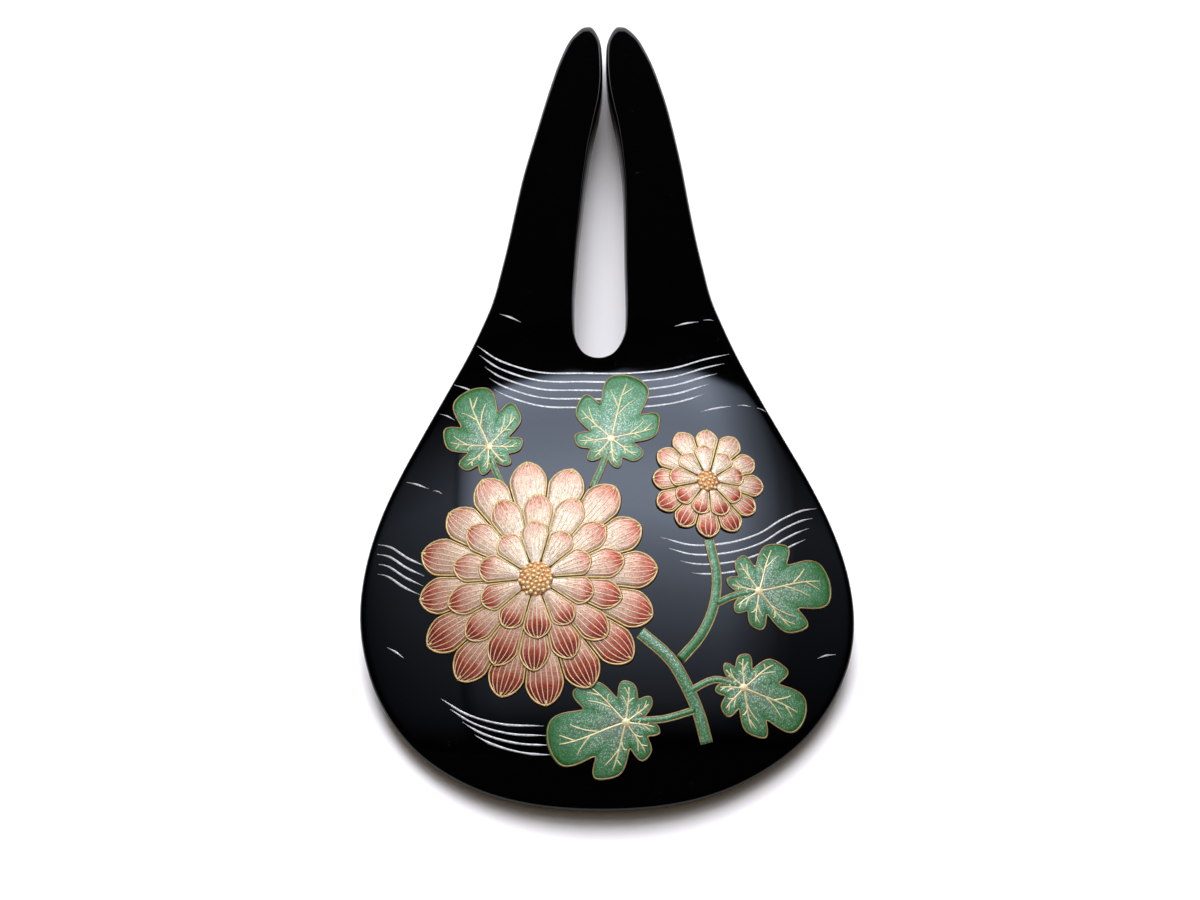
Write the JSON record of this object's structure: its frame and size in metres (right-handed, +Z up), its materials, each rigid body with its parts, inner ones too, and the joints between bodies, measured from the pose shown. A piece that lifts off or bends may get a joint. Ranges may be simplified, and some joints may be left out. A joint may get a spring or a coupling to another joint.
{
  "type": "kanzashi hairpin",
  "caption": "Two-pronged lacquered hairpin with a broad rounded blade, bowed to lie on the hair, with raised flowers and leaves on its crown.",
  "frame": {"origin": "under the middle of the pin, on the surface that it lies on", "axes": "+Y from the blade's end to the prong tips, +X to the right seen from the blade's end, +Z up"},
  "size_m": [0.0644, 0.1284, 0.0172],
  "materials": {
    "black_lacquer": "black lacquer, polished to a mirror gloss over wood",
    "pink_petal": "raised lacquer dusted with pink and pale gold powder, clear coated",
    "green_leaf": "raised lacquer dusted with green powder and gold flecks, clear coated",
    "gold": "raised gold powder, satin",
    "silver_line": "thin brushed lines of silver powder"
  },
  "bodies": {
    "root": {"body": "black_lacquer", "flower_petals_outer": "pink_petal", "flower_petals_middle": "pink_petal", "flower_petals_inner": "pink_petal", "small_flower_petals_outer": "pink_petal", "small_flower_petals_inner": "pink_petal", "flower_centre": "gold", "small_flower_centre": "gold", "leaf_top_left": "green_leaf", "leaf_top_middle": "green_leaf", "leaf_right": "green_leaf", "leaf_low_right": "green_leaf", "leaf_low_left": "green_leaf", "stem_main": "green_leaf", "stem_branch": "green_leaf"}
  },
  "joints": []
}
